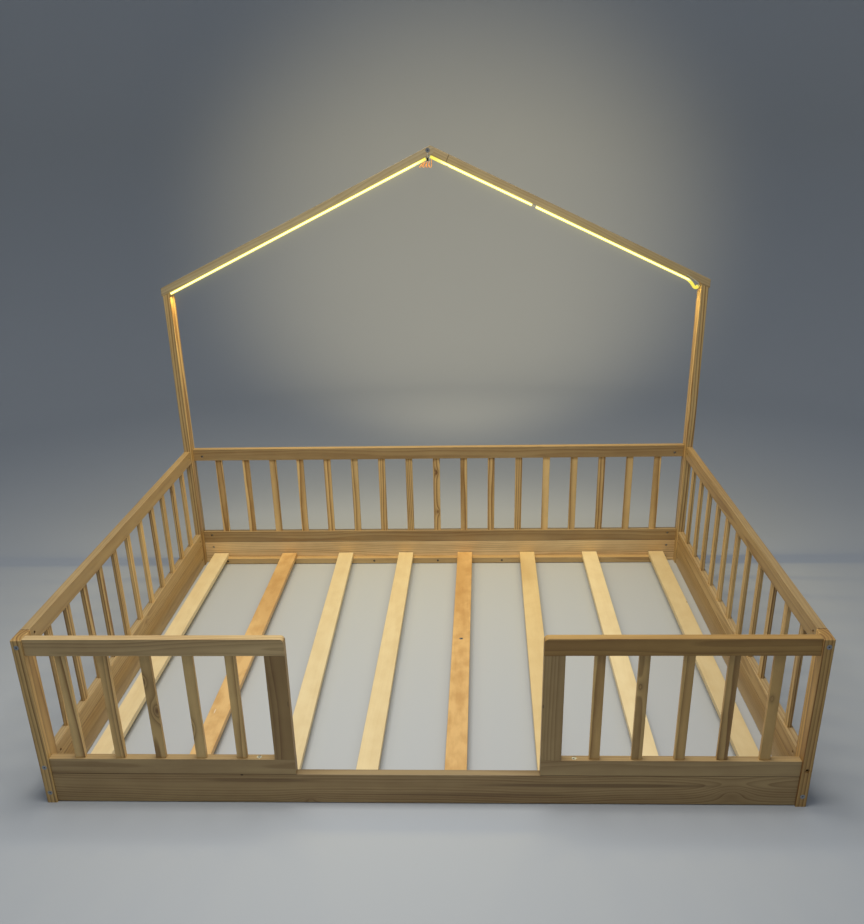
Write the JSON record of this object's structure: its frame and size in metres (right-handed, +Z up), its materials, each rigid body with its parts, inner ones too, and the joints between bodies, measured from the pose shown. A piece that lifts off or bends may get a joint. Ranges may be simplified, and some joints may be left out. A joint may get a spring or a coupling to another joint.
{
  "type": "house frame bed",
  "caption": "Low slatted floor bed with baluster guards, a front entrance and a house gable at the back with a light strip below its rafters.",
  "frame": {"origin": "on the floor, at the middle of the frame's length and width", "axes": "+X along the long side to the right seen from the entrance, +Y from the entrance to the gable, +Z up"},
  "size_m": [2.066, 1.662, 1.6225],
  "materials": {
    "pine": "planed, unfinished",
    "orange_pine": "planed, unfinished",
    "zinc": "zinc plated",
    "dark_screw": "black phosphate",
    "lit_strip": "milky silicone",
    "clear_lead": "clear sheath",
    "lead": "clear sheath over copper",
    "black_plastic": "moulded"
  },
  "bodies": {
    "root": {"back_balusters": "pine", "back_bed_rail": "pine", "back_bottom_rail": "pine", "back_ledger": "pine", "back_left_post": "pine", "back_right_post": "pine", "back_top_rail": "pine", "barrel_nuts": "zinc", "centre_foot": "pine", "foot_bolt": "zinc", "front_bed_rail": "pine", "front_ledger": "pine", "front_left_baluster_1": "pine", "front_left_baluster_2": "pine", "front_left_baluster_3": "pine", "front_left_baluster_4": "pine", "front_left_baluster_5": "pine", "front_left_bottom_rail": "pine", "front_left_post": "pine", "front_left_stile": "pine", "front_left_top_rail": "pine", "front_right_baluster_1": "pine", "front_right_baluster_2": "pine", "front_right_baluster_3": "pine", "front_right_baluster_4": "pine", "front_right_baluster_5": "pine", "front_right_bottom_rail": "pine", "front_right_post": "pine", "front_right_stile": "pine", "front_right_top_rail": "pine", "lead_hank": "lead", "left_bed_rail": "pine", "left_bottom_rail": "pine", "left_rafter": "pine", "left_side_balusters": "pine", "left_top_rail": "pine", "light_strip_left": "lit_strip", "light_strip_right_lower": "lit_strip", "light_strip_right_upper": "lit_strip", "light_strip_splice": "clear_lead", "light_strip_tail": "clear_lead", "long_connector_bolts": "zinc", "ridge_bolt": "zinc", "ridge_connector": "black_plastic", "ridge_nut": "zinc", "right_bed_rail": "pine", "right_bottom_rail": "pine", "right_rafter": "pine", "right_side_balusters": "pine", "right_top_rail": "pine", "short_connector_bolts": "zinc", "slat_1": "pine", "slat_2": "orange_pine", "slat_3": "pine", "slat_4": "pine", "slat_5": "orange_pine", "slat_6": "pine", "slat_7": "pine", "slat_8": "pine", "wood_screws": "dark_screw"}
  },
  "joints": []
}
